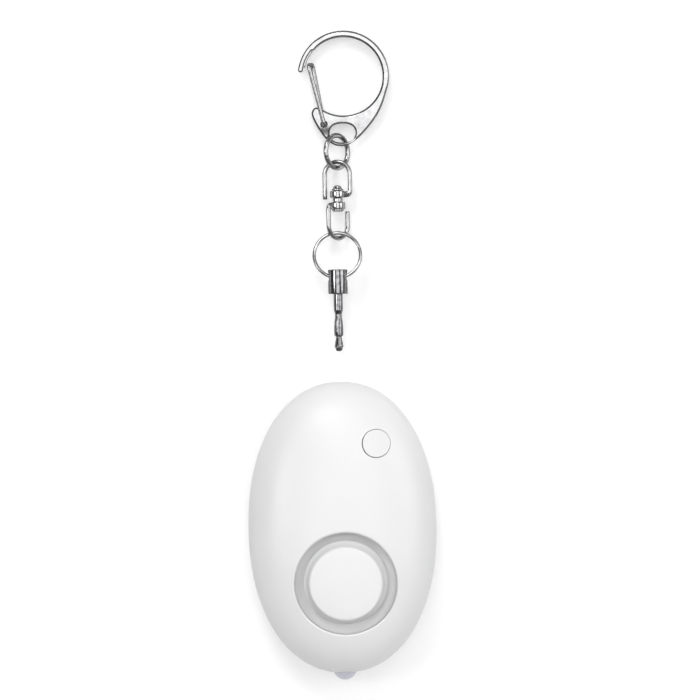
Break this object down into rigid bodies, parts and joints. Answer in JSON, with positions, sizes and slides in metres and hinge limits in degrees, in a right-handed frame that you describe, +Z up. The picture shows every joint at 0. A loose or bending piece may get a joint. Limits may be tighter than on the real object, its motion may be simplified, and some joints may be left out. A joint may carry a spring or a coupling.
{
  "type": "personal safety alarm",
  "caption": "Oval white personal alarm with a round sounder, light button and torch LED, and a pull pin on a ring, swivel and spring-gate clip.",
  "frame": {"origin": "centre of the case's flat back, which lies on the table", "axes": "+X across the case, +Y along it from the LED to the clip, +Z up from the back to the dome"},
  "size_m": [0.04, 0.1381, 0.0175],
  "materials": {
    "case_white": "smooth gloss white moulding",
    "sounder_white": "smooth gloss white moulding",
    "button_white": "smooth gloss white moulding",
    "chain_chrome": "bright nickel plate",
    "pin_chrome": "bright plated turning",
    "gate_steel": "drawn spring wire",
    "screw_steel": "zinc plate",
    "led_clear": "clear epoxy with a lavender tint",
    "lead_tin": "tinned steel",
    "board_green": "solder mask",
    "chip_black": "moulded epoxy",
    "switch_grey": "moulded nylon",
    "chip_tan": "fired ceramic",
    "coil_copper": "enamelled copper on ferrite",
    "piezo_brass": "rolled sheet",
    "piezo_silver": "fired silver on ceramic",
    "lead_red": "wire insulation",
    "lead_black": "wire insulation",
    "socket_black": "moulded nylon",
    "contact_brass": "sprung strip",
    "cell_steel": "nickel-plated can"
  },
  "bodies": {
    "root": {"front_shell": "case_white", "rear_shell": "case_white", "battery_door": "case_white", "battery_door_screw": "screw_steel", "case_screws": "screw_steel", "sounder_cap": "sounder_white", "piezo_plate": "piezo_brass", "piezo_ceramic": "piezo_silver", "piezo_lead_red": "lead_red", "piezo_lead_black": "lead_black", "circuit_board": "board_green", "controller_chip": "chip_black", "boost_coil": "coil_copper", "driver_transistor": "chip_black", "chip_resistors": "chip_black", "chip_capacitors": "chip_tan", "switch_body": "switch_grey", "led_lens": "led_clear", "led_leads": "lead_tin", "socket_housing": "socket_black", "socket_contact_upper": "contact_brass", "socket_contact_lower": "contact_brass", "button_cell_1": "cell_steel", "button_cell_2": "cell_steel", "button_cell_3": "cell_steel", "cell_contact_positive": "contact_brass", "cell_contact_negative": "contact_brass", "cell_link_front": "contact_brass", "cell_link_rear": "contact_brass"},
    "button": {"light_button": "button_white", "switch_plunger": "chip_black"},
    "pin": {"pull_pin": "pin_chrome", "pin_collar": "pin_chrome"},
    "pin_ring": {"pin_ring": "chain_chrome"},
    "lower_bow": {"swivel_lower_bow": "chain_chrome", "swivel_rivet": "chain_chrome"},
    "upper_bow": {"swivel_upper_bow": "chain_chrome"},
    "link_ring": {"link_ring": "chain_chrome"},
    "clip": {"clip_body": "chain_chrome"},
    "gate": {"clip_gate": "gate_steel"}
  },
  "joints": [
    {"name": "pin_pull", "type": "slide", "parent": "root", "child": "pin", "axis": [0, -1, 0], "range_m": [0, 0.0184]},
    {"name": "button_press", "type": "slide", "parent": "root", "child": "button", "axis": [0, 0, -1], "range_m": [0, 0.0005], "stiffness_N_per_m": 400, "springref_m": -0.0005},
    {"name": "pin_ring_swing", "type": "hinge", "parent": "pin", "child": "pin_ring", "pos_m": [0, 0.05305, 0.0057], "axis": [1, 0, 0], "range_deg": [-50, 70]},
    {"name": "lower_bow_swing", "type": "hinge", "parent": "pin_ring", "child": "lower_bow", "pos_m": [0.0003, 0.06258, 0.00315], "axis": [-1, 0, 0], "range_deg": [-50, 50]},
    {"name": "swivel_spin", "type": "hinge", "parent": "lower_bow", "child": "upper_bow", "pos_m": [0.0003, 0.07007, 0.00315], "axis": [0, 1, 0], "continuous": true},
    {"name": "link_ring_swing", "type": "hinge", "parent": "upper_bow", "child": "link_ring", "pos_m": [0.0003, 0.07774, 0.00315], "axis": [0.9781, 0, 0.2079], "range_deg": [-45, 45]},
    {"name": "clip_swing", "type": "hinge", "parent": "link_ring", "child": "clip", "pos_m": [0.0003, 0.0815, 0.0022], "axis": [1, 0, 0], "range_deg": [-50, 20]},
    {"name": "gate_open", "type": "hinge", "parent": "clip", "child": "gate", "pos_m": [-0.0023, 0.0858, 0.0022], "axis": [0, 0, -1], "range_deg": [0, 30], "stiffness_Nm_per_rad": 0.004, "springref_deg": -17.19}
  ]
}
